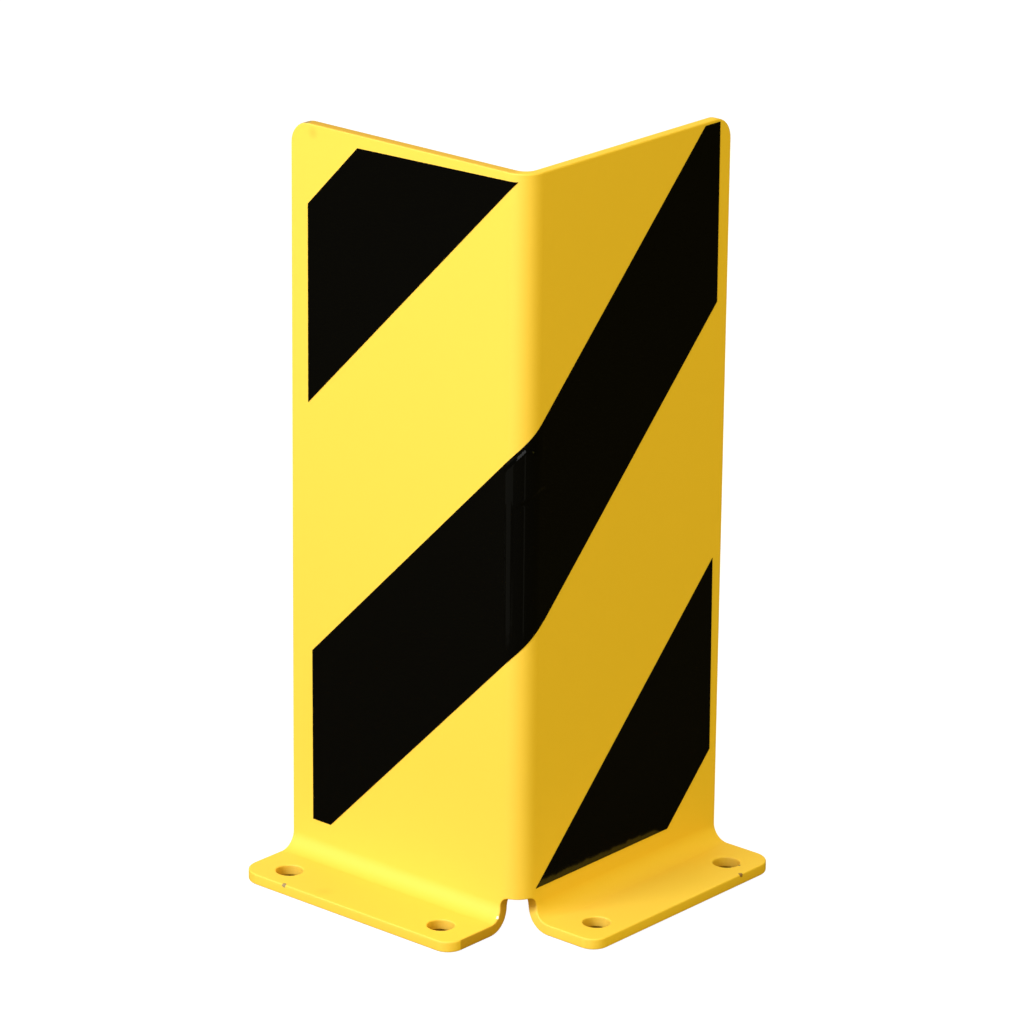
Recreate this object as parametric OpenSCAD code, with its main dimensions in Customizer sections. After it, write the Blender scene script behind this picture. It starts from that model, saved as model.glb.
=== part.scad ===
// Corner guard: one steel plate folded to an upright corner with two bolted feet,
// powder coated, with three bands of black adhesive film on its outer faces.
//
// The plate is drawn in a corner frame. The sharp corner that the two outer faces would meet in
// is the upright line x = 0, y = 0. The right leg runs along +X with its outer face on y = 0, and
// its foot points to -Y. The left leg is its mirror image across the plane x = y. The floor is z = 0.

/* [Folded plate] */
// Height of the guard above the floor
guard_h = 400; // [300:1:600]
// Width of each leg, from the sharp corner to its free edge
leg_w = 157; // [130:1:220]
// Thickness of the plate
plate_t = 6; // [3:0.5:8]
// Inside radius of the upright bend
corner_r_in = 6; // [3:0.5:10]
// Radius of the two upper corners
top_corner_r = 12; // [4:0.5:25]

/* [Feet] */
// Reach of each foot, from the outer face of its leg
foot_reach = 41; // [34:0.5:70]
// Inside radius of the bend between a leg and its foot
foot_r_in = 9; // [4:0.5:12]
// Radius of each foot's corner at the free edge of its leg
foot_corner_r = 12; // [3:0.5:15]
// Radius of each foot's corner at the notch
foot_notch_r = 9; // [3:0.5:12]

/* [Relief notch] */
// Height of the notch above the end of the foot bends
notch_rise = 3.2; // [3:0.1:12]
// Radius of the two upper corners of the notch
notch_r = 5; // [1:0.5:5]
// How far the notch cuts into the flat walls beside the upright bend
notch_flat = 1; // [0:0.5:8]
// How far each foot runs on past the side of the notch above it
foot_lead = 2; // [0:0.5:4]

/* [Anchor holes] */
// Diameter of the anchor holes
hole_d = 14; // [9:0.5:15]
// From the middle of a hole to the front edge of its foot
hole_edge_gap = 16; // [12:0.5:18]
// From the middle of the outer hole to the free end of its foot
hole_end_gap = 21; // [12:0.5:35]
// From the middle of the inner hole to the end of its foot at the notch
hole_notch_gap = 20; // [12:0.5:35]

/* [Film bands] */
// Thickness of the film
film_t = 0.2; // [0.1:0.05:0.5]
// Thickness of the adhesive under the film
glue_t = 0.05; // [0.02:0.01:0.2]
// Width of each band, square to its edges
band_w = 75; // [40:1:90]
// Angle of the bands to the floor
band_angle = 45.7; // [35:0.1:55]
// Upper band: height above the guard's top where its middle line would cross the bend
upper_band_over = 54; // [30:0.5:70]
// Upper band: bare strip at the free edge of the left leg
upper_side_gap = 11.7; // [2:0.1:25]
// Upper band: bare strip below the top edge
upper_top_gap = 5.7; // [1:0.1:15]
// Middle band: height where its middle line crosses the bend
middle_band_z = 207.7; // [180:0.1:240]
// Middle band: bare strip at the free edge of the left leg
middle_left_gap = 14.4; // [2:0.1:25]
// Middle band: bare strip at the free edge of the right leg
middle_right_gap = 8.9; // [2:0.1:25]
// Middle band: bare strip below the top edge
middle_top_gap = 1.6; // [1:0.1:15]
// Middle band: bare strip above the floor
middle_foot_gap = 25.3; // [24:0.1:60]
// Lower band: depth below the floor where its middle line would cross the bend
lower_band_under = 40.3; // [20:0.1:50]
// Lower band: bare strip at the free edge of the right leg
lower_side_gap = 6.7; // [2:0.1:25]
// Lower band: bare strip above the floor
lower_foot_gap = 23.2; // [22:0.1:40]

/* [Hidden] */
$fn = 96;
coat_yellow = [0.98, 0.80, 0.10];
film_black = [0.05, 0.05, 0.05];

// The plate in its corner frame
corner_r_out = corner_r_in + plate_t;      // outer radius of the upright bend; the flat walls begin here
foot_r_out = foot_r_in + plate_t;
wall_foot = plate_t + foot_r_in;           // height where the flat walls begin
notch_side = corner_r_out + notch_flat;    // side of the notch in the walls, from the sharp corner
foot_side = notch_side - foot_lead;        // end of each foot at the notch, from the sharp corner
notch_top = wall_foot + notch_rise;
hole_far = leg_w - hole_end_gap;
hole_near = foot_side + hole_notch_gap;
hole_out = foot_reach - hole_edge_gap;
eps = 1;                                   // how far a cut runs past the surface it opens

// The finished part stands with the middle of its footprint on the origin
centre_shift = (leg_w - foot_reach) / 2;

// The bands are laid out on the unrolled film. Place 0 is the middle of the upright bend, the left
// leg is negative and the right leg positive. The middle of the film's thickness keeps its length.
skin_r = corner_r_out + glue_t;            // back of the film round the bend
skin_mid = glue_t + film_t / 2;            // from the plate to the middle of the film
mid_r = corner_r_out + skin_mid;
half_arc = mid_r * PI / 4;
band_slope = tan(band_angle);
band_rise = band_w / cos(band_angle);      // height of a band along an upright line
arc_steps = 8;

// Unrolled place of a point of a leg at this distance from the sharp corner
function unrolled(from_corner) = from_corner - corner_r_out + half_arc;

// Where an unrolled place is seen from straight in front of the bend
function seen(place) = abs(place) <= half_arc
    ? mid_r * sin(place / mid_r * 180 / PI)
    : sign(place) * (mid_r + abs(place) - half_arc) / sqrt(2);

// Shapes

// Rectangle from the origin, with its far upper corner rounded
module plate_round_far(size, r) {
    square([size[0], size[1] - r]);
    square([size[0] - r, size[1]]);
    translate([size[0] - r, size[1] - r])
        circle(r);
}

// Rectangle from the origin, with its upper corners rounded by near_r and far_r
module plate_round_both(size, near_r, far_r) {
    intersection() {
        plate_round_far(size, far_r);
        translate([size[0], 0])
            mirror([1, 0])
                plate_round_far(size, near_r);
    }
}

// Quarter of a ring around the origin, from the +X axis to the +Y axis, standing on z = 0
module quarter_ring(r_in, r_out, height) {
    intersection() {
        difference() {
            cylinder(r = r_out, h = height);
            translate([0, 0, -eps])
                cylinder(r = r_in, h = height + 2 * eps);
        }
        cube([r_out + eps, r_out + eps, height]);
    }
}

// The two legs are mirror images across the plane x = y
module both_legs() {
    children();
    mirror([1, -1, 0])
        children();
}

// The folded plate

// Flat wall of the right leg, above the foot bend
module leg_wall() {
    translate([corner_r_out, plate_t, wall_foot])
        rotate([90, 0, 0])
            linear_extrude(height = plate_t)
                plate_round_far([leg_w - corner_r_out, guard_h - wall_foot], top_corner_r);
}

// Bend between the wall and the foot: it curves out and down to the floor
module foot_bend() {
    translate([foot_side, -foot_r_in, wall_foot])
        rotate([0, 90, 0])
            quarter_ring(foot_r_in, foot_r_out, leg_w - foot_side);
}

// Flat foot of the right leg, with its two anchor holes
module foot_flange() {
    difference() {
        translate([foot_side, -foot_r_in, plate_t])
            rotate([180, 0, 0])
                linear_extrude(height = plate_t)
                    plate_round_both([leg_w - foot_side, foot_reach - foot_r_in],
                                     foot_notch_r, foot_corner_r);
        for (x = [hole_near, hole_far])
            translate([x, -hole_out, -eps])
                cylinder(d = hole_d, h = plate_t + 2 * eps);
    }
}

// Upright bend between the two walls, down to where the foot bends end
module upright_bend() {
    translate([corner_r_out, corner_r_out, wall_foot])
        rotate([0, 0, 180])
            quarter_ring(corner_r_in, corner_r_out, guard_h - wall_foot);
}

// Side view of the notch on one leg: everything below its top, with the upper corner rounded.
// Its side leans in from there to the end of the foot.
module notch_profile() {
    low = [-foot_reach - eps, -eps];
    intersection() {
        translate(low)
            plate_round_far([notch_side - low[0], notch_top - low[1]], notch_r);
        polygon([low, [foot_side, low[1]], [foot_side, plate_t],
                 [notch_side, notch_top - notch_r], [notch_side, notch_top], [low[0], notch_top]]);
    }
}

// The side view of the right leg's notch, cut through both feet
module notch_cut() {
    translate([0, notch_side, 0])
        rotate([90, 0, 0])
            linear_extrude(height = notch_side + foot_reach + eps)
                notch_profile();
}

// The notch is what lies inside its side view on both legs
module relief_notch() {
    intersection() {
        notch_cut();
        mirror([1, -1, 0])
            notch_cut();
    }
}

module folded_plate() {
    color(coat_yellow)
        translate([-centre_shift, -centre_shift, 0])
            difference() {
                union() {
                    both_legs() {
                        leg_wall();
                        foot_bend();
                        foot_flange();
                    }
                    upright_bend();
                }
                relief_notch();
            }
}

// The film bands

// Skin of film thickness that covers both outer faces and the bend between them
module film_skin() {
    both_legs()
        translate([corner_r_out, -glue_t - film_t, 0])
            cube([leg_w - corner_r_out, film_t, guard_h]);
    translate([corner_r_out, corner_r_out, 0])
        rotate([0, 0, 180])
            quarter_ring(skin_r, skin_r + film_t, guard_h);
}

// One edge of a band, from the left to the right: it is straight on the unrolled face
function band_edge(edge_z, left, right) = [
    for (place = concat([left],
                        [for (i = [0 : arc_steps]) half_arc * (2 * i / arc_steps - 1)],
                        [right]))
        [seen(place), edge_z + band_slope * place]
];

// Front view of a band: its two slanted edges, cut by upright ends and by level ends
module band_outline(middle_z, left, right, low, high) {
    lower_edge = band_edge(middle_z - band_rise / 2, -unrolled(leg_w), unrolled(leg_w));
    upper_edge = band_edge(middle_z + band_rise / 2, -unrolled(leg_w), unrolled(leg_w));
    last = len(upper_edge) - 1;
    intersection() {
        polygon(concat(lower_edge, [for (i = [last : -1 : 0]) upper_edge[i]]));
        translate([seen(left), low])
            square([seen(right) - seen(left), high - low]);
    }
}

// A piece of film: the skin inside the front view of its band
module band_film(middle_z, left, right, low, high) {
    color(film_black)
        translate([-centre_shift, -centre_shift, 0])
            intersection() {
                film_skin();
                rotate([90, 0, -45])
                    translate([0, 0, -leg_w])
                        linear_extrude(height = 2 * leg_w)
                            band_outline(middle_z, left, right, low, high);
            }
}

module upper_band_film() {
    band_film(guard_h + upper_band_over,
              -unrolled(leg_w - upper_side_gap), half_arc,
              wall_foot, guard_h - upper_top_gap);
}

module middle_band_film() {
    band_film(middle_band_z,
              -unrolled(leg_w - middle_left_gap), unrolled(leg_w - middle_right_gap),
              middle_foot_gap, guard_h - middle_top_gap);
}

module lower_band_film() {
    band_film(-lower_band_under,
              0, unrolled(leg_w - lower_side_gap),
              lower_foot_gap, guard_h);
}

folded_plate();
upper_band_film();
middle_band_film();
lower_band_film();
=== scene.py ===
# %% [markdown]
# Corner guard. A steel plate is cut flat, folded to an upright corner with two feet, powder coated
# yellow and taped with black film. The lesson builds it in that order: a flat blank first, then a
# formula that folds it, then the films, which are cut and folded in the same way.

# %% Load the frame
import math

import bmesh
import bpy
from mathutils import Matrix, Vector


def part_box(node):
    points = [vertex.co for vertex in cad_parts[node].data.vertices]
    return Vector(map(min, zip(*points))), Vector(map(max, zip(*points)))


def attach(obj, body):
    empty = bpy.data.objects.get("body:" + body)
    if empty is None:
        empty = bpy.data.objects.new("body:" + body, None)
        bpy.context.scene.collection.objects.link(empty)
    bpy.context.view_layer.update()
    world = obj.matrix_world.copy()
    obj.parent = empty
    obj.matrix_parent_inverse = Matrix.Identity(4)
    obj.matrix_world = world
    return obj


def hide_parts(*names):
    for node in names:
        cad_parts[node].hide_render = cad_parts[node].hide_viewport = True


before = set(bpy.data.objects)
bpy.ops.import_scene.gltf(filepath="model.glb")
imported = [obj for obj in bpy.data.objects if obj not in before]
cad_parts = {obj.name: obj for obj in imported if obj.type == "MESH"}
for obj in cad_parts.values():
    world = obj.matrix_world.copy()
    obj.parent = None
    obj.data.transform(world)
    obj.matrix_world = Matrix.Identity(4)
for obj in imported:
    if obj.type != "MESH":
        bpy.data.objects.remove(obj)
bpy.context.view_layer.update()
plate_low, plate_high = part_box("folded_plate")
print("plate from", [round(c, 4) for c in plate_low], "to", [round(c, 4) for c in plate_high])

# %% [markdown]
# Sizes come first. The real plate is 6 mm thick. Its height and footprint are read from the frame,
# and the radii and the hole places are those of the CAD model, which were worked out from the
# photograph. All lengths in the scene are metres, so a size in millimetres is written with MM
# beside it.

# %% Sizes of the plate
MM = 0.001
plate_t = 6 * MM
corner_r = 12 * MM            # outer radius of the upright bend
foot_r = 9 * MM               # radius of the foot bends on the side that shows
foot_reach = 41 * MM
round_r = 12 * MM             # upper corners of the walls and outer corners of the feet
foot_side = 11 * MM           # the feet begin this far from the sharp corner
foot_side_r = 9 * MM          # corners of the feet at the notch
notch_side = 13 * MM          # the notch is a little wider where it runs into the walls
notch_top = 18.2 * MM
notch_r = 5 * MM
hole_r = 7 * MM
hole_out = 25 * MM            # holes from the outer face of their wall
hole_places = (31 * MM, 136 * MM)
edge_r = 0.9 * MM             # the coat flows round the cut edges
height = plate_high.z
leg_w = plate_high.x - plate_low.x - foot_reach
corner = Vector((plate_low.x + foot_reach, plate_low.y + foot_reach, 0))
print("leg", round(leg_w / MM, 1), "mm wide,", round(height / MM, 1), "mm high")

# %% [markdown]
# A folded sheet is easiest to draw before it is folded. It could also be put together from flat
# walls and bends, as the CAD model is, but then the rounded edges would have to meet at each joint.
# A point of the blank has a place u across it, from the middle of the upright bend, a height v, and
# a depth w from the outer face into the plate. The fold turns u round the upright bend and v round
# the foot bends. Both legs are the same apart from a mirror, so the formula works on the right leg
# and swaps x with y for the left one.
# A press brake doesn't end a bend at a sharp line: just above a foot the wall still leans a little.
# Only the shading normals carry this lean, so the wall keeps its place.

# %% The fold
half_arc = corner_r * math.pi / 4
wall_foot = plate_t + foot_r                     # height where the flat walls begin
flat_foot = wall_foot - foot_r * math.pi / 2     # place where the flat feet begin
run_out = 60 * MM                                # height over which the lean fades out
run_out_lean = 0.07                              # in radians, where the wall begins


def fold(u, v, w):
    """Folded place of a point of the blank, and the directions that u, v and w have there."""
    a = abs(u)
    x, y, z = corner_r + a - half_arc, w, v
    along = Vector((1, 0, 0))
    level = Vector((0, 1, 0))     # straight into an upright wall, and the lean tips it from there
    lean = run_out_lean * min(1, max(0, 1 - (v - wall_foot) / run_out))
    if v < flat_foot:
        y, z = -foot_r - (flat_foot - v), plate_t - w
        lean = math.pi / 2
    elif v < wall_foot:
        turn = (wall_foot - v) / foot_r
        y = -foot_r + (foot_r + w) * math.cos(turn)
        z = wall_foot - (foot_r + w) * math.sin(turn)
        lean += turn * (1 - lean / (math.pi / 2))
    elif a < half_arc:
        turn = (half_arc - a) / corner_r
        x = corner_r - (corner_r - w) * math.sin(turn)
        y = corner_r - (corner_r - w) * math.cos(turn)
        along = Vector((math.cos(turn), -math.sin(turn), 0))
        level = Vector((math.sin(turn), math.cos(turn), 0))
    up = level * math.sin(lean) + Vector((0, 0, math.cos(lean)))
    into = level * math.cos(lean) - Vector((0, 0, math.sin(lean)))
    place = Vector((x, y, z))
    if u < 0:
        place, up, into, along = (Vector((p.y, p.x, p.z)) for p in (place, up, into, -along))
    return place + corner, (along, up, into)


print("the sheet turns round the upright bend over", round(2 * half_arc / MM, 1), "mm")

# %% [markdown]
# Some sizes are known on the folded plate, such as the sides of the notch, which were measured from
# the sharp corner. To draw them on the blank, the fold is undone for a point of the outer face. The
# blank keeps the lengths of that face, because the films lie on it.

# %% Back to the blank
def on_blank(x, z):
    """Place on the blank of a point of the right leg, x from the sharp corner and z high."""
    u = x - corner_r + half_arc
    if x < corner_r:
        u = half_arc - corner_r * math.asin(1 - x / corner_r)
    v = z
    if z < wall_foot:
        v = wall_foot - foot_r * math.asin((wall_foot - z) / foot_r)
    return u, v


blank_end = on_blank(leg_w, height)[0]
print("blank", round(2 * blank_end / MM, 1), "mm wide")

# %% [markdown]
# The outline of the blank is one closed loop of straight lines and arcs, and each hole is a loop
# that runs the other way round, so that the metal always lies on the left. The notch between the
# feet is drawn as it looks from the side of a wall and is then laid on the blank. Its top corner is
# rounded, and its side leans towards the bend on its way down to the foot.

# %% Outline of the blank
ARC_STEPS = 12
HOLE_STEPS = 56


def arc(cx, cy, r, start, end, steps=ARC_STEPS):
    """Points along an arc, from one angle to another in degrees."""
    angles = [math.radians(start + (end - start) * i / steps) for i in range(steps + 1)]
    return [(cx + r * math.cos(a), cy + r * math.sin(a)) for a in angles]


def right_outline():
    """Right half of the outline, from the top of the notch round to the top of the wall."""
    front = flat_foot - (foot_reach - foot_r)
    points = arc(notch_side - notch_r, notch_top - notch_r, notch_r, 90, 0)
    high = points[-1][1]
    for i in range(1, ARC_STEPS + 1):
        part = i / ARC_STEPS
        points.append((notch_side + (foot_side - notch_side) * part,
                       high + (plate_t - high) * part))
    loop = [on_blank(x, z) for x, z in points]
    near = on_blank(foot_side, height)[0]
    loop += arc(near + foot_side_r, front + foot_side_r, foot_side_r, 180, 270)
    loop += arc(blank_end - round_r, front + round_r, round_r, 270, 360)
    loop += arc(blank_end - round_r, height - round_r, round_r, 0, 90)
    return loop


hole_v = flat_foot - (hole_out - foot_r)
right_half = right_outline()
blank_loops = [right_half + [(-u, v) for u, v in reversed(right_half)]]
for place in hole_places:
    hole_u = on_blank(place, height)[0]
    for u in (hole_u, -hole_u):
        blank_loops.append(arc(u, hole_v, hole_r, 360, 360 / HOLE_STEPS, HOLE_STEPS - 1))
print("outline has", len(blank_loops[0]), "points and", len(blank_loops) - 1, "holes")

# %% [markdown]
# The slab between two depths gets its rounded edges from rings. Each ring is the outline moved
# inwards and down a quarter circle, so the edge is real geometry that catches the light. A Bevel
# modifier would round it only after the fold, and the shading normals are worked out before it. The
# two faces are filled between the outline and the holes.

# %% Slab with rounded edges
SAME_PLACE = 1e-7             # in metres, points closer than this are one
SHARPEST = 0.3                # keeps a very sharp corner from moving in too far


def inward(loop):
    """At each point, the direction into the metal, long enough to keep corners square."""
    found = []
    for i, p in enumerate(loop):
        before = Vector(p) - Vector(loop[i - 1])
        after = Vector(loop[(i + 1) % len(loop)]) - Vector(p)
        n1 = Vector((-before.y, before.x)).normalized()
        n2 = Vector((-after.y, after.x)).normalized()
        n = (n1 + n2).normalized()
        found.append(n / max(n.dot(n1), SHARPEST))
    return found


def rounded_slab(loops, near, far, r, steps):
    """Flat closed mesh from depth near to depth far, with its edges rounded by r."""
    bm = bmesh.new()
    caps = ([], [])
    for loop in loops:
        normals = inward(loop)
        profile = []
        for i in range(steps + 1):
            a = math.radians(90 * i / steps)
            profile.append((r * (1 - math.sin(a)), near + r * (1 - math.cos(a))))
        profile += [(inset, near + far - depth) for inset, depth in reversed(profile)]
        rings = []
        for inset, depth in profile:
            rings.append([bm.verts.new((p[0] + n.x * inset, p[1] + n.y * inset, depth))
                          for p, n in zip(loop, normals)])
        for one, two in zip(rings, rings[1:]):
            for i in range(len(loop)):
                bm.faces.new((one[i - 1], one[i], two[i], two[i - 1]))
        for ring, edges in ((rings[0], caps[0]), (rings[-1], caps[1])):
            edges += [bm.edges.get((ring[i - 1], ring[i])) for i in range(len(ring))]
    for edges in caps:
        bmesh.ops.triangle_fill(bm, use_beauty=True, use_dissolve=False, edges=edges)
    bmesh.ops.recalc_face_normals(bm, faces=bm.faces)
    return bm


print("edges of the plate are rounded by", round(edge_r / MM, 1), "mm")

# %% [markdown]
# A face has no points in its middle that could follow a bend, so the slab is cut before it is
# folded. A Subdivision modifier would add points everywhere. These cuts are only where the sheet
# curves, evenly spaced, and the flat walls stay whole.

# %% Cuts where the sheet bends
BEND_STEPS = 20
RUN_OUT_STEPS = 10


def steps_between(start, end, count):
    """Evenly spaced places from start to end, both included."""
    return [start + (end - start) * i / count for i in range(count + 1)]


def cut(bm, axis, places, low=(-1, -1), high=(1, 1)):
    """Cut the slab across u or v at these places, inside a window of the blank."""
    normal = Vector((axis == "u", axis == "v", 0))
    for place in places:
        faces = [f for f in bm.faces
                 if all(low[i] < f.calc_center_median()[i] < high[i] for i in (0, 1))]
        rims = dict.fromkeys(part for f in faces for part in (*f.edges, *f.verts))
        bmesh.ops.bisect_plane(bm, geom=faces + list(rims), dist=SAME_PLACE,
                               plane_co=normal * place, plane_no=normal)


upright_cuts = steps_between(-half_arc, half_arc, BEND_STEPS)
foot_cuts = steps_between(flat_foot, wall_foot, BEND_STEPS)
run_out_cuts = steps_between(wall_foot, wall_foot + run_out, RUN_OUT_STEPS)[1:]
print(len(upright_cuts), "cuts for the upright bend,", len(foot_cuts), "for the foot bends and",
      len(run_out_cuts), "for the lean above them")

# %% [markdown]
# Folding moves every point by the formula. The shading normals are worked out on the flat slab,
# where they are simple, and turned with the fold. So the walls stay dead flat in the light, and
# the bends shade as true cylinders.

# %% Fold a slab into an object
def folded_object(bm, name, near, far):
    """Turn the flat slab into a folded mesh object, with its own shading normals."""
    bm.normal_update()
    normals = []
    for vert in bm.verts:
        w = vert.co.z
        flat = sum((f.normal * f.calc_area() for f in vert.link_faces), Vector()).normalized()
        on_near, on_far = abs(w - near) < SAME_PLACE, abs(w - far) < SAME_PLACE
        if on_near or on_far:
            flat = Vector((0, 0, -1 if on_near else 1))
        place, (along, up, into) = fold(*vert.co)
        normals.append((along * flat.x + up * flat.y + into * flat.z).normalized())
        vert.co = place
    bmesh.ops.reverse_faces(bm, faces=bm.faces)
    for face in bm.faces:
        face.smooth = True
    mesh = bpy.data.meshes.new(name)
    bm.to_mesh(mesh)
    bm.free()
    mesh.normals_split_custom_set_from_vertices(normals)
    obj = bpy.data.objects.new(name, mesh)
    bpy.context.scene.collection.objects.link(obj)
    print(name, "has", len(mesh.polygons), "faces")
    return obj


foot_into = fold(blank_end / 2, 0, 0)[1][2]
print("on a foot, the direction into the plate is folded to", [round(c, 1) for c in foot_into])

# %% [markdown]
# Some cut edges are painted a deeper yellow as shade, where little light reaches them: the top of
# the left leg most, the sides of the notch, and less so the front of the right foot, the rims of
# the holes and the other top. This painted shade follows the edges of the blank, so a few rules on
# u, v and w say it all.

# %% Painted shade on the edges
edge_begins = 0.4 * edge_r    # depth at which a rounded edge counts as edge and no longer as face
shade_from, shade_over = 10 * MM, 3 * MM      # right side of the notch: the painted shade begins here and grows upwards
near_hole = 1.2 * hole_r                    # closer to the middle of a hole than this is its rim


def thin_coat(u, v, w):
    """How much painted shade a point gets: 0 on the faces, and up to 1 on cut edges in shade."""
    if not edge_begins < w < plate_t - edge_begins:
        return 0
    if v > height - round_r:                                    # tops, most of all the left one
        return min(1, max(0.2, -u / corner_r))
    if 0 < u < notch_side and v > shade_from:                    # right side of the notch
        return min(0.9, (v - shade_from) / shade_over)
    if -foot_side < u < 0 and v > hole_v - hole_r:              # left side of the notch
        return 0.9
    if u > foot_side + foot_side_r and v < hole_v - hole_r:     # front edge of the right foot
        return 0.25
    # the rims of the holes get a little painted shade too
    in_hole = any(math.hypot(abs(u) - on_blank(place, height)[0], v - hole_v) < near_hole
                  for place in hole_places)
    return 0.15 if in_hole else 0


# how much painted shade lies on the middle of the left leg's top edge
print("in the middle of the left leg's top the coat is thin by",
      thin_coat(-blank_end / 2, height, plate_t / 2))

# %% [markdown]
# The plate is the slab of its blank, cut along the bends and folded. How much painted shade each
# edge gets is stored on each of its points, where the coat's material reads it later. The object
# stands for the plate of the CAD model, which is one piece with one finish.

# %% The plate
EDGE_STEPS = 5
plate_bm = rounded_slab(blank_loops, 0, plate_t, edge_r, EDGE_STEPS)
cut(plate_bm, "u", upright_cuts)
cut(plate_bm, "v", foot_cuts + run_out_cuts)
# the painted shade of the edges is stored on each point
darkened = plate_bm.verts.layers.float.new("thin_coat")
for vert in plate_bm.verts:
    vert[darkened] = thin_coat(*vert.co)
plate = folded_object(plate_bm, "coated_plate", 0, plate_t)
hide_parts("folded_plate")
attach(plate, "root")

# %% [markdown]
# The bands are strips of black vinyl film, 75 mm wide, trimmed with a knife once they were on. They
# could be painted on the plate, but a film has an edge that catches the light and a gloss of its
# own. The corners are given on the blank in millimetres, so an edge that runs round the bend stays
# one straight line. The film is 0.2 mm thick and lies on a thin layer of glue.

# %% Outlines of the films
film_back, film_front = -0.05 * MM, -0.25 * MM      # depths of its two faces
upper_film = [(-142.7, 358.2), (-142.7, 253.3), (-4.3, 395.7), (-109.1, 393.3)]
middle_film = [(-140.2, 119.3), (-139.8, 25.4), (-127.4, 25.3), (-9.4, 144.7), (7, 161.5),
               (14.4, 168.1), (145.9, 303.7), (145.2, 398.4), (133.5, 398.4), (12, 273.4),
               (-9.4, 251.6)]
lower_film = [(9.8, 23), (114.5, 23.6), (148.3, 58.6), (147.1, 165)]
print("films are", round((film_back - film_front) / MM, 2), "mm thick, and the middle one has",
      len(middle_film), "corners")

# %% [markdown]
# Over the bend the middle film has come loose in one place and stands up a little, like a flat
# blister. A bump map would only tilt the light there, so the film is really raised: from the
# outline of the blister it climbs in a smooth step and is level further in.

# %% The loose place
blister = [(-25.8, 223.8), (-25, 220.3), (-18, 219.5), (-9, 224.5), (-1, 229.3), (5, 233.6),
           (9, 236.2), (14, 237), (16.5, 245), (17, 256), (15.7, 259.3), (11.2, 258.6),
           (5, 258.6), (0.6, 260.1), (-6.8, 252.3), (-11.6, 247), (-17.4, 240.5), (-22, 234.2),
           (-25.2, 228.2)]
blister_low, blister_high = (-26.5 * MM, 218.5 * MM), (17.5 * MM, 261 * MM)
BLISTER_STEPS = (66, 64)      # cuts of this window along u and v, fine enough to bulge smoothly
BLISTER_RISE, BLISTER_RIM = 0.6 * MM, 2 * MM


def blister_rise(u, v):
    """How far the loose film stands off, from zero at the outline of the blister inwards."""
    inside, reach = False, 1.0
    p = Vector((u / MM, v / MM))
    for a, b in zip(blister, blister[1:] + blister[:1]):
        passes = (a[1] > p.y) != (b[1] > p.y)
        if passes and p.x < a[0] + (b[0] - a[0]) * (p.y - a[1]) / (b[1] - a[1]):
            inside = not inside
        a, b = Vector(a), Vector(b)
        t = max(0, min(1, (p - a).dot(b - a) / (b - a).length_squared))
        reach = min(reach, (p - a - (b - a) * t).length * MM / BLISTER_RIM)
    return BLISTER_RISE * reach * reach * (3 - 2 * reach) if inside else 0


print("on the bend the film stands off", round(blister_rise(0, 245 * MM) / MM, 2), "mm")

# %% [markdown]
# Each film is made as the plate was, as a slab that is cut and folded, and its depths put it just
# in front of the plate. The middle one is cut finer round the blister, so that its rise comes out
# smooth. Each stands for the film of the same name in the CAD model.

# %% Films
film_edge_r = 0.05 * MM
FILM_EDGE_STEPS = 2


def film(name, corners, node, raised=False):
    """Cut a film, raise its blister if it has one, fold it and let it stand for its CAD node."""
    loop = [(u * MM, v * MM) for u, v in corners]
    bm = rounded_slab([loop], film_front, film_back, film_edge_r, FILM_EDGE_STEPS)
    cut(bm, "u", upright_cuts)
    cut(bm, "v", run_out_cuts)
    if raised:
        for i, axis in enumerate("uv"):
            places = steps_between(blister_low[i], blister_high[i], BLISTER_STEPS[i])
            cut(bm, axis, places, blister_low, blister_high)
        for vert in bm.verts:
            vert.co.z -= blister_rise(vert.co.x, vert.co.y)
    piece = folded_object(bm, name, film_front, film_back)
    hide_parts(node)
    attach(piece, "root")
    return piece


films = [
    film("upper_film", upper_film, "upper_band_film"),
    film("middle_film", middle_film, "middle_band_film", raised=True),
    film("lower_film", lower_film, "lower_band_film"),
]

# %% [markdown]
# Colours are written as the hex values that one would pick from a picture, and turned into the
# linear values that the renderer works with, because light adds up in those. One small helper adds
# any node with its settings.

# %% Colours and nodes
def linear(hex_colour):
    """Linear colour of an sRGB hex value."""
    values = [int(hex_colour[i:i + 2], 16) / 255 for i in (1, 3, 5)]
    return [c / 12.92 if c <= 0.04045 else ((c + 0.055) / 1.055) ** 2.4 for c in values] + [1]


def add(owner, kind, links=(), **settings):
    """Add one node. Links are (socket, where it comes from), and settings are sockets or fields."""
    tree = owner.node_tree
    node = tree.nodes.new(kind)
    for key, value in settings.items():
        socket = next((s for s in node.inputs if s.name.replace(" ", "_").lower() == key), None)
        if socket is not None:
            socket.default_value = value
        else:
            setattr(node, key, value)
    for socket, source in links:
        tree.links.new(source, node.inputs[socket])
    return node


def new_material(name):
    """A material with an empty node tree."""
    material = bpy.data.materials.new(name)
    material.use_nodes = True
    material.node_tree.nodes.clear()
    return material


print("the grey #808080 is", round(linear("#808080")[0], 3), "in linear light")

# %% [markdown]
# A few knocks have gone through the coat. Each is a small dark spot with a ragged edge, and two
# smudges are made in the same way, as is a painted glint at the notch. They could be painted on an
# unwrapped plate, but it is simpler to measure how far each point of the surface lies from the
# middle of a knock. Noise added to that distance makes the edge ragged.

# %% Knocks in the coat, and a painted glint
RAGGED = 1.4 * MM             # the most that noise adds to a distance
RAGGED_SPARE = 0.9 * MM       # and what a knock's radius grows by to make up for it
GRAINS_PER_METRE = 1500       # ragged edges, in steps of 0.7 mm
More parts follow.
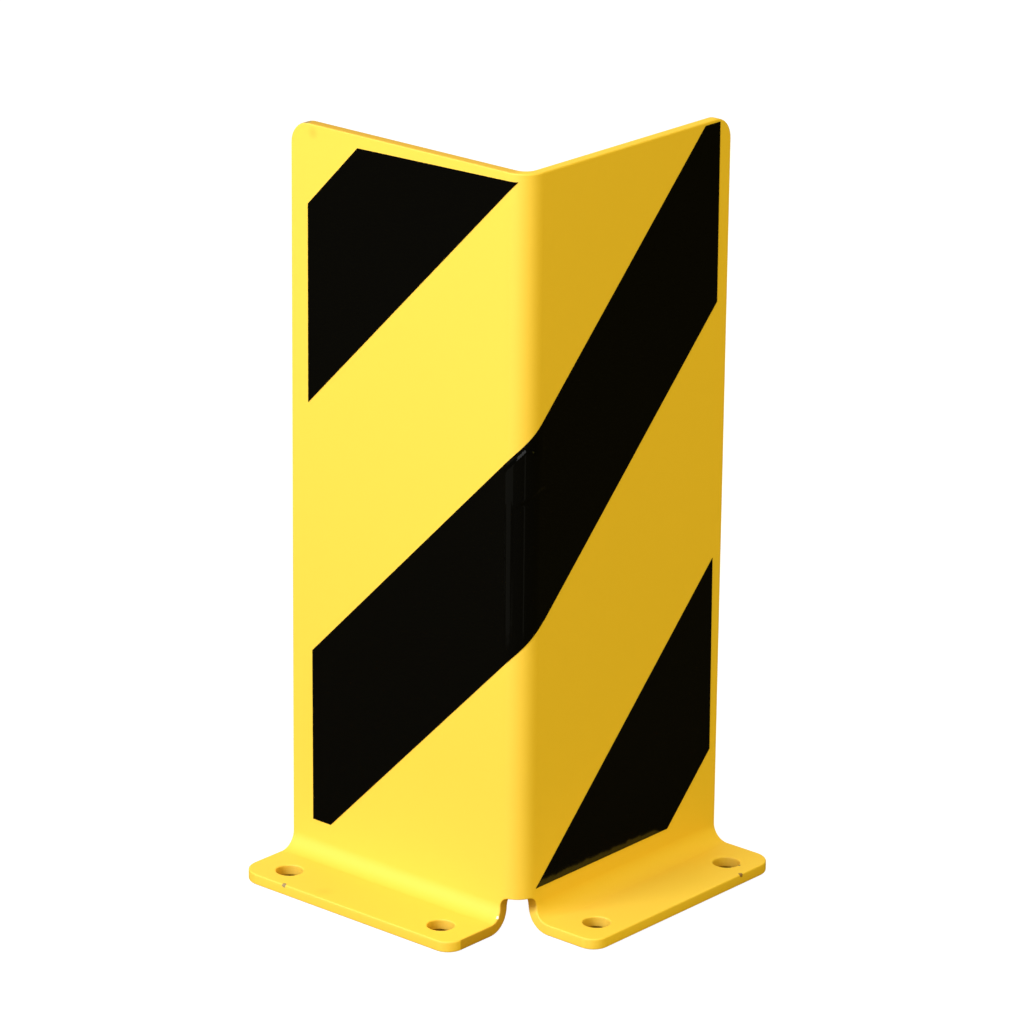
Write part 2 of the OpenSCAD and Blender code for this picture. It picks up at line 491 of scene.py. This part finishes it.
# A knock, or the painted glint, has a place from the sharp corner in millimetres, a radius, the
# softness of its edge, a colour, and how strong it is.
knocks_and_glint = [
    ((-40.4, 125.3, 5.4), 1.3, 0.4, "#A08058", 1),       # front edge of the left foot
    ((128.7, -40.4, 5.4), 1.3, 0.4, "#94643A", 1),       # front edge of the right foot
    ((136.9, -32.4, 6.0), 1.0, 0.4, "#8C6420", 1),       # rim of the outer hole of the right foot
    ((1.8, 146.8, 400.0), 1.8, 0.8, "#8A7A50", 0.8),     # top of the left leg
    ((148.9, 2.9, 400.0), 1.6, 0.8, "#6E6A5A", 0.9),     # top of the right leg
    ((0.0, 141.8, 395.5), 3.6, 3.0, "#E8A010", 0.4),     # smudge below the top of the left leg
    ((-33.5, 103.5, 6.0), 5.5, 5.0, "#E8A818", 0.25),    # smudge on the left foot
    ((-2.9, 12.2, 8.4), 0.8, 0.4, "#FFFFFF", 1),         # painted glint at the notch, where the bend meets the edge
]


def with_knocks_and_glint(m, where, colour):
    """The colour of the coat with all knocks, smudges and the painted glint laid over it, one after
    the other.
    """
    ragged = add(m, "ShaderNodeTexNoise", [("Vector", where)], scale=GRAINS_PER_METRE, detail=2)
    for place, radius, soft, tint, strong in knocks_and_glint:
        middle = corner + Vector(place) * MM
        far_off = add(m, "ShaderNodeVectorMath", [(0, where)], operation="DISTANCE")
        far_off.inputs[1].default_value = middle
        rough_edge = add(m, "ShaderNodeMath",
                         [(0, ragged.outputs["Fac"]), (2, far_off.outputs["Value"])],
                         operation="MULTIPLY_ADD")
        rough_edge.inputs[1].default_value = RAGGED
        outside = radius * MM + RAGGED_SPARE
        mask = add(m, "ShaderNodeMapRange", [("Value", rough_edge.outputs[0])],
                   from_min=outside, from_max=outside - soft * MM, to_max=strong)
        mixed = add(m, "ShaderNodeMix", [("Factor", mask.outputs[0]), ("A", colour)],
                    data_type="RGBA")
        mixed.inputs["B"].default_value = linear(tint)
        colour = mixed.outputs["Result"]
    return colour


print(len(knocks_and_glint), "knocks, the largest", 2 * max(radius for _, radius, *_ in knocks_and_glint), "mm across")

# %% [markdown]
# The powder coat is a deep traffic yellow with a satin gloss. Its surface is never quite flat:
# the powder melts into a faint orange peel with bumps some 3 mm apart, which breaks up reflections.
# A plain coat has an index of refraction near 1.5. This one is set to 1.8 with a high roughness,
# because its bends shine widely and softly in the photograph.

# %% Powder coat
PEEL_PER_METRE = 350          # bumps of the orange peel, 2.9 mm apart


def powder_coat():
    """Yellow coat, painted a deeper yellow as shade on some edges, with its knocks, a painted glint
    and its orange peel.
    """
    m = new_material("powder_coat_yellow")
    where = add(m, "ShaderNodeTexCoord").outputs["Object"]
    full = add(m, "ShaderNodeRGB")
    full.outputs[0].default_value = linear("#F8C638")
    # the painted shade of the edges mixes the yellow towards #CA9206
    darkened = add(m, "ShaderNodeAttribute", attribute_name="thin_coat").outputs["Fac"]
    edge_shaded = add(m, "ShaderNodeMix", [("Factor", darkened), ("A", full.outputs[0])], data_type="RGBA")
    edge_shaded.inputs["B"].default_value = linear("#CA9206")
    colour = with_knocks_and_glint(m, where, edge_shaded.outputs["Result"])
    peel = add(m, "ShaderNodeTexNoise", [("Vector", where)], scale=PEEL_PER_METRE, detail=2)
    bump = add(m, "ShaderNodeBump", [("Height", peel.outputs["Fac"])],
               strength=0.3, distance=0.05 * MM)
    shader = add(m, "ShaderNodeBsdfPrincipled",
                 [("Base Color", colour), ("Normal", bump.outputs["Normal"])],
                 roughness=0.72, ior=1.8)
    add(m, "ShaderNodeOutputMaterial", [("Surface", shader.outputs["BSDF"])])
    return m


plate.data.materials.append(powder_coat())
print("coat with", len(plate.data.materials[0].node_tree.nodes), "nodes")

# %% [markdown]
# The film is soft black vinyl with a high gloss. It mirrors what is in front of it, faintly and a
# little unsteadily, because it follows the orange peel of the coat underneath. Vinyl has an index
# of refraction near 1.5. It was lowered to 1.36 until the foot's mirror image in the lower film was
# as faint as in the photograph.

# %% Vinyl film
WAVES_PER_METRE = 140         # the film smooths the orange peel to waves 7 mm apart


def vinyl_film():
    """Glossy black film with shallow waves."""
    m = new_material("vinyl_film_black")
    where = add(m, "ShaderNodeTexCoord").outputs["Object"]
    wave = add(m, "ShaderNodeTexNoise", [("Vector", where)], scale=WAVES_PER_METRE, detail=1)
    bump = add(m, "ShaderNodeBump", [("Height", wave.outputs["Fac"])],
               strength=0.5, distance=0.1 * MM)
    shader = add(m, "ShaderNodeBsdfPrincipled", [("Normal", bump.outputs["Normal"])],
                 base_color=linear("#030303"), roughness=0.06, ior=1.36)
    add(m, "ShaderNodeOutputMaterial", [("Surface", shader.outputs["BSDF"])])
    return m


film_material = vinyl_film()
for piece in films:
    piece.data.materials.append(film_material)
print("film on", len(films), "pieces")

# %% [markdown]
# The camera stands where the photograph was taken from: far off with a long lens, a little above
# the guard and almost in front of the bend. It could be placed by eye, but its place and focal
# length were worked out from the outline of the real part, so that render and photograph can be
# laid over each other.

# %% Camera
AZIMUTH, ELEVATION, ROLL = -49.241, 19.329, 0.618
eye = corner + Vector((-1928.5, -1654.3, 1119.8)) * MM
focal_px, image_px = 5459.529, 1024      # focal length and width of the photograph, in pixels
sensor = 36                              # in millimetres
az, el, roll = (math.radians(a) for a in (AZIMUTH, ELEVATION, ROLL))
back = Vector((math.sin(az) * math.cos(el), -math.cos(az) * math.cos(el), math.sin(el)))
level_right = Vector((math.cos(az), math.sin(az), 0))
right = math.cos(roll) * level_right + math.sin(roll) * back.cross(level_right)
up = back.cross(right)
camera_data = bpy.data.cameras.new("camera")
camera_data.sensor_width = sensor
camera_data.lens = focal_px / image_px * sensor
camera_data.clip_end = 100
camera = bpy.data.objects.new("camera", camera_data)
bpy.context.scene.collection.objects.link(camera)
rows = [[right[i], up[i], back[i], eye[i]] for i in range(3)]
camera.matrix_world = Matrix(rows + [[0, 0, 0, 1]])
bpy.context.scene.camera = camera
print("lens", round(camera_data.lens), "mm, camera", round((eye - corner).length, 2), "m away")

# %% [markdown]
# The key lamp stands to the left and a little behind, so the left wall is bright and the right wall
# lies in its own shade and throws a soft edge of shadow along its foot. A wide side lamp carries
# the light round the bend, a weak warm one in front, a little to the right, keeps the right wall
# amber, and a wide one overhead lights the feet from above. One behind fills the inside of the
# corner, which the photograph doesn't show. All are soft area lamps, as in a photo studio.

# %% Lamps
def area_light(name, direction, distance, size, power, colour, target=None):
    """An area lamp that faces the target, or the middle of the guard where none is given."""
    light = bpy.data.lights.new(name, "AREA")
    light.shape = "RECTANGLE"
    light.size, light.size_y = size
    light.energy = power
    light.color = linear(colour)[:3]
    obj = bpy.data.objects.new(name, light)
    bpy.context.scene.collection.objects.link(obj)
    toward = Vector(direction).normalized()
    obj.location = (target or Vector((0, 0, height / 2))) + toward * distance
    obj.rotation_mode = "QUATERNION"
    obj.rotation_quaternion = toward.to_track_quat("Z", "Y")
    return obj


area_light("key", (-0.9, 0.2, 0.6), 2.0, (0.7, 0.7), 41, "#C8DCFF")
area_light("side", (-1, -0.25, 0.45), 2.0, (1.6, 1.6), 12, "#FFFFFF")
area_light("front", (0.4, -0.95, 0.5), 1.8, (1.2, 1.2), 3.2, "#FFF060")
area_light("top", (-0.15, -0.12, 1), 2.2, (2, 2), 13.5, "#FFFFFF")
area_light("back", (0.75, 0.8, 0.6), 2.2, (1.6, 1.6), 4, "#FFFFFF")
print("lamps with", round(sum(light.energy for light in bpy.data.lights), 1), "W in all")

# %% [markdown]
# A round mirror shows a whole room squeezed into narrow streaks, and so does the film on the bend.
# The photograph has two of them. They could be painted on the film, but they are mirror images, so
# two low dim panels stand where the bend mirrors them to the camera. They are too weak to light the
# coat.

# %% Panels for the film to mirror
PANEL_OUT, PANEL_TALL = 0.42, 0.16      # distance from the bend and height, in metres


def low_panel(name, angle, width, power):
    """A dim panel that stands on the floor, this many degrees to the right of the camera."""
    bearing = math.atan2(eye.y - corner.y, eye.x - corner.x) + math.radians(angle)
    panel = area_light(name, (math.cos(bearing), math.sin(bearing), 0), PANEL_OUT,
                       (width, PANEL_TALL), power, "#FFFFF0",
                       target=corner + Vector((0, 0, PANEL_TALL / 2)))
    panel.visible_camera = False


low_panel("wide_panel", -60, 0.3, 0.018)
low_panel("thin_panel", 14, 0.04, 0.003)
print(len(bpy.data.lights), "area lights, the two panels among them")

# %% [markdown]
# The room is a plain white backdrop and a floor. What the camera sees directly is pure white, and
# so is what it would see through glass. Mirrored rays meet the same backdrop, but dimmer, because
# in the photograph neither the film nor the coat shows a bright room. All other light from the
# room is a weak warm yellow. The Light Path node tells which kind of ray is asking.

# %% Backdrop
world = bpy.data.worlds.new("studio")
bpy.context.scene.world = world
world.use_nodes = True
world.node_tree.nodes.clear()


def by_ray(owner, direct, mirrored, bounced):
    """One shader for what is seen directly or through glass, one in mirrors, one for the rest."""
    path = add(owner, "ShaderNodeLightPath").outputs
    straight = add(owner, "ShaderNodeMath",
                   [(0, path["Is Camera Ray"]), (1, path["Is Transmission Ray"])],
                   operation="MAXIMUM")
    unseen = add(owner, "ShaderNodeMixShader",
                 [(0, path["Is Glossy Ray"]), (1, bounced.outputs[0]), (2, mirrored.outputs[0])])
    both = add(owner, "ShaderNodeMixShader",
               [(0, straight.outputs[0]), (1, unseen.outputs[0]), (2, direct.outputs[0])])
    return both.outputs[0]


white = add(world, "ShaderNodeBackground", color=linear("#FFFFFF"), strength=1)
dim_white = add(world, "ShaderNodeBackground", color=linear("#FFF0C0"), strength=0.045)
room = add(world, "ShaderNodeBackground", color=linear("#FFFC6C"), strength=0.7)
add(world, "ShaderNodeOutputWorld", [("Surface", by_ray(world, white, dim_white, room))])
print("backdrop with", len(world.node_tree.nodes), "nodes")

# %% [markdown]
# The floor is one large square just below the feet. Under the four anchor holes it lies in deep
# shade, which a lit floor seen through a hole wouldn't be, so a dark disc closes each hole from
# below.

# %% Floor
FLOOR_HALF = 8                # metres
floor_z = -0.2 * MM           # just below the feet, with the discs half way up to them
disc_r = 1.5 * hole_r
points = [(x * FLOOR_HALF, y * FLOOR_HALF, floor_z)
          for x, y in ((-1, -1), (1, -1), (1, 1), (-1, 1))]
faces = [(0, 1, 2, 3)]
for place in hole_places:
    for x, y in ((place, -hole_out), (-hole_out, place)):
        faces.append(range(len(points), len(points) + HOLE_STEPS))
        disc = arc(x, y, disc_r, 0, 360 - 360 / HOLE_STEPS, HOLE_STEPS - 1)
        points += [corner + Vector((px, py, floor_z / 2)) for px, py in disc]
floor_mesh = bpy.data.meshes.new("floor")
floor_mesh.from_pydata(points, [], faces)
floor = bpy.data.objects.new("floor", floor_mesh)
bpy.context.scene.collection.objects.link(floor)
print("floor with", len(faces) - 1, "shaded holes")

# %% [markdown]
# The floor is pale where the camera sees it: it glows almost white, with enough of a plain surface
# mixed in to keep a faint shadow of the guard. The light that bounces off it is warmer, as from the
# ground in the photograph, and in the film its mirror image is dark.

# %% Finish of the floor
def pale_floor():
    """Pale where it is seen, dark in mirrors, and warm in the light that bounces off it."""
    m = new_material("pale_floor")
    pale = add(m, "ShaderNodeBsdfDiffuse", color=linear("#F4F4F4"))
    glow = add(m, "ShaderNodeEmission", color=linear("#FAFAFF"), strength=1.2)
    soft = add(m, "ShaderNodeMixShader", [(1, pale.outputs[0]), (2, glow.outputs[0])], fac=0.82)
    dark = add(m, "ShaderNodeBsdfDiffuse", color=linear("#3A3226"))
    warm = add(m, "ShaderNodeBsdfDiffuse", color=linear("#A3963C"))
    add(m, "ShaderNodeOutputMaterial", [("Surface", by_ray(m, soft, dark, warm))])
    return m


def shaded_ground():
    """Brown ground in the shade of a hole."""
    m = new_material("shaded_ground")
    shade = add(m, "ShaderNodeBsdfDiffuse", color=linear("#5A3A10"))
    add(m, "ShaderNodeOutputMaterial", [("Surface", shade.outputs[0])])
    return m


floor_mesh.materials.append(pale_floor())
floor_mesh.materials.append(shaded_ground())
for disc in list(floor_mesh.polygons)[1:]:
    disc.material_index = 1
print("floor with", len(floor_mesh.materials), "materials")

# %% [markdown]
# Last, the colours are shown in the Standard view.

# %% Finish
bpy.context.scene.view_settings.view_transform = "Standard"
